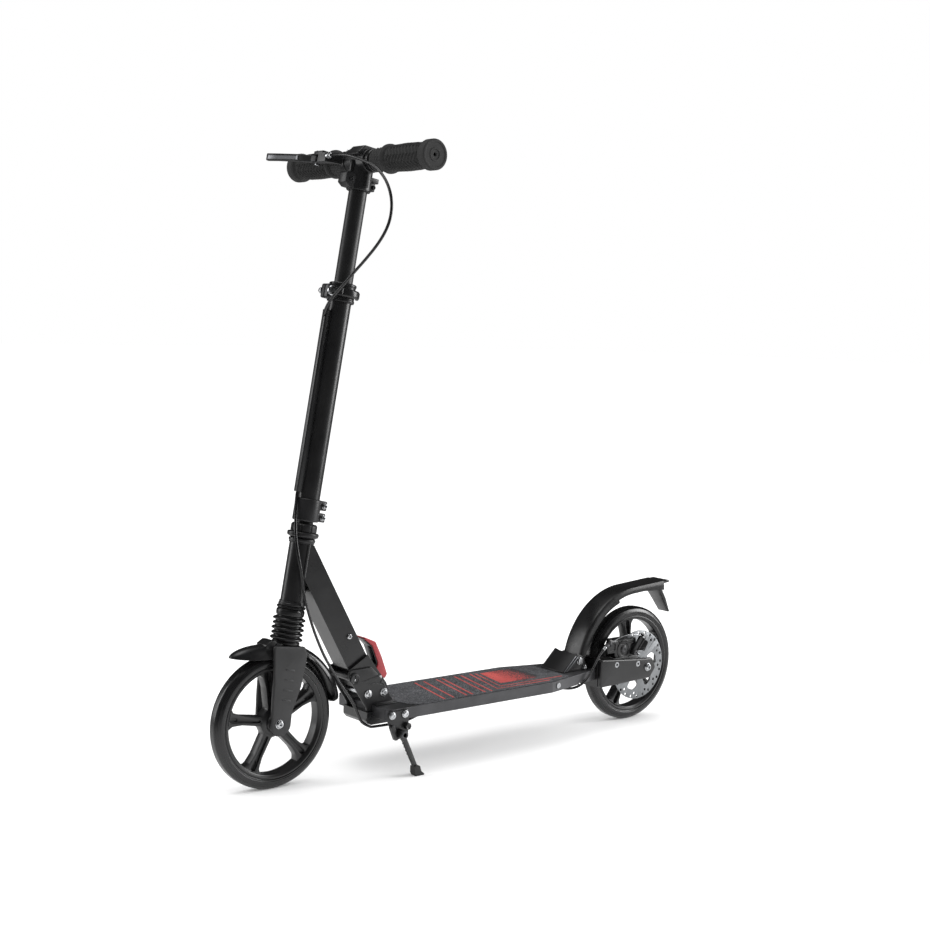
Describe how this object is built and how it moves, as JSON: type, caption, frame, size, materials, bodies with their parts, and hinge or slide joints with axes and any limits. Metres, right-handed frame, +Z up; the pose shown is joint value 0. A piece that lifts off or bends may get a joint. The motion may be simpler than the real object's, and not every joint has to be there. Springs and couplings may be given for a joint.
{
  "type": "kick scooter",
  "caption": "Folding kick scooter with equal wheels, sprung front fork, height-adjustable bar, hand-operated rear disc brake, fender foot brake and side stand.",
  "frame": {"origin": "on the ground under the middle of the wheelbase, in the scooter's middle plane", "axes": "+X forward, +Y to the rider's left, +Z up"},
  "size_m": [1.084, 0.4, 1.0913],
  "materials": {
    "anodised_black": "satin black",
    "deck_grey": "brushed dark grey anodised",
    "grip_tape": "gritty",
    "cast_black": "semi gloss black",
    "bright_steel": "zinc plated",
    "black_steel": "black oxide",
    "rotor_steel": "ground",
    "moulded_black": "semi gloss moulded",
    "tyre_black": "smooth urethane",
    "soft_rubber": "matt rubber",
    "red_plastic": "semi gloss red",
    "cable_black": "smooth jacket"
  },
  "bodies": {
    "deck": {"deck_board": "deck_grey", "grip_tape": "grip_tape", "deck_nose": "anodised_black", "fold_plate_left": "anodised_black", "fold_plate_right": "anodised_black", "fold_bolts": "bright_steel", "lock_pin": "black_steel", "rear_cross_plate": "anodised_black", "rear_arm_left": "anodised_black", "rear_arm_right": "anodised_black", "rear_axle": "bright_steel", "fender_bracket": "anodised_black", "deck_bolts": "bright_steel", "brake_caliper": "cast_black", "kickstand_bracket": "black_steel", "cable_deck": "cable_black"},
    "front_frame": {"head_tube": "anodised_black", "headset_cups": "anodised_black", "strut": "anodised_black", "fold_knuckle": "anodised_black", "frame_pins": "bright_steel", "cable_front": "cable_black"},
    "pedal": {"release_pedal": "red_plastic"},
    "column": {"steerer_tube": "bright_steel", "headset_nuts": "anodised_black", "outer_tube": "anodised_black", "stem_collar": "anodised_black", "collar_bolts": "bright_steel", "cable_duct": "moulded_black", "height_clamp": "anodised_black", "clamp_skewer": "bright_steel", "bellows": "soft_rubber", "cable_stem": "cable_black"},
    "clamp_handle": {"clamp_lever": "anodised_black"},
    "handlebar": {"upper_tube": "anodised_black", "t_head": "anodised_black", "crossbar": "anodised_black", "grip_left": "soft_rubber", "grip_right": "soft_rubber", "lever_perch": "anodised_black", "lever_fittings": "bright_steel", "cable_loop": "cable_black"},
    "hand_lever": {"brake_lever": "anodised_black"},
    "fork": {"fork_slider": "bright_steel", "fork_crown": "anodised_black", "fork_leg_left": "anodised_black", "fork_leg_right": "anodised_black", "front_fender": "moulded_black", "front_axle": "bright_steel"},
    "front_wheel": {"front_tyre": "tyre_black", "front_rim": "moulded_black", "front_bearings": "bright_steel"},
    "rear_wheel": {"rear_tyre": "tyre_black", "rear_rim": "moulded_black", "rear_bearings": "bright_steel", "disc_rotor": "rotor_steel"},
    "foot_brake": {"rear_fender": "moulded_black"},
    "caliper_lever": {"caliper_arm": "anodised_black"},
    "stand": {"kickstand_leg": "black_steel", "kickstand_foot": "soft_rubber"}
  },
  "joints": [
    {"name": "fold", "type": "hinge", "parent": "deck", "child": "front_frame", "pos_m": [0.214, 0, 0.143], "axis": [0, -1, 0], "range_deg": [0, 81], "deforming": ["cable_front"]},
    {"name": "pedal_press", "type": "hinge", "parent": "front_frame", "child": "pedal", "pos_m": [0.218, 0, 0.17], "axis": [0, -1, 0], "range_deg": [0, 12], "stiffness_Nm_per_rad": 1.2, "springref_deg": -14.32},
    {"name": "steer", "type": "hinge", "parent": "front_frame", "child": "column", "pos_m": [0.38056, 0, 0.36134], "axis": [-0.1706, 0, 0.9853], "range_deg": [-60, 60], "deforming": ["cable_stem"]},
    {"name": "clamp_open", "type": "hinge", "parent": "column", "child": "clamp_handle", "pos_m": [0.32642, 0.0186, 0.84418], "axis": [0.1706, 0, -0.9853], "range_deg": [0, 95]},
    {"name": "bar_height", "type": "slide", "parent": "column", "child": "handlebar", "axis": [-0.1706, 0, 0.9853], "range_m": [-0.15, 0], "deforming": ["cable_loop"]},
    {"name": "lever_pull", "type": "hinge", "parent": "handlebar", "child": "hand_lever", "pos_m": [0.29426, -0.084, 1.07102], "axis": [-0.1706, 0, 0.9853], "range_deg": [0, 22], "stiffness_Nm_per_rad": 0.8, "springref_deg": -17.19},
    {"name": "fork_travel", "type": "slide", "parent": "column", "child": "fork", "axis": [-0.1706, 0, 0.9853], "range_m": [0, 0.02], "stiffness_N_per_m": 9000, "springref_m": -0.015, "deforming": ["bellows"]},
    {"name": "front_spin", "type": "hinge", "parent": "fork", "child": "front_wheel", "pos_m": [0.427, 0, 0.115], "axis": [0, 1, 0], "continuous": true},
    {"name": "rear_spin", "type": "hinge", "parent": "deck", "child": "rear_wheel", "pos_m": [-0.427, 0, 0.115], "axis": [0, 1, 0], "continuous": true},
    {"name": "fender_press", "type": "hinge", "parent": "deck", "child": "foot_brake", "pos_m": [-0.262, 0, 0.142], "axis": [0, -1, 0], "range_deg": [0, 3.4], "stiffness_Nm_per_rad": 5, "springref_deg": -17.19},
    {"name": "caliper_squeeze", "type": "hinge", "parent": "deck", "child": "caliper_lever", "pos_m": [-0.3935, 0.05, 0.1475], "axis": [0, 1, 0], "range_deg": [0, 20]},
    {"name": "stand_fold", "type": "hinge", "parent": "deck", "child": "stand", "pos_m": [0.215, 0.09, 0.08], "axis": [0, 1, 0], "range_deg": [0, 64]}
  ],
  "couplings": [
    {"joint": "caliper_squeeze", "follows": "lever_pull", "ratio": 0.8}
  ]
}
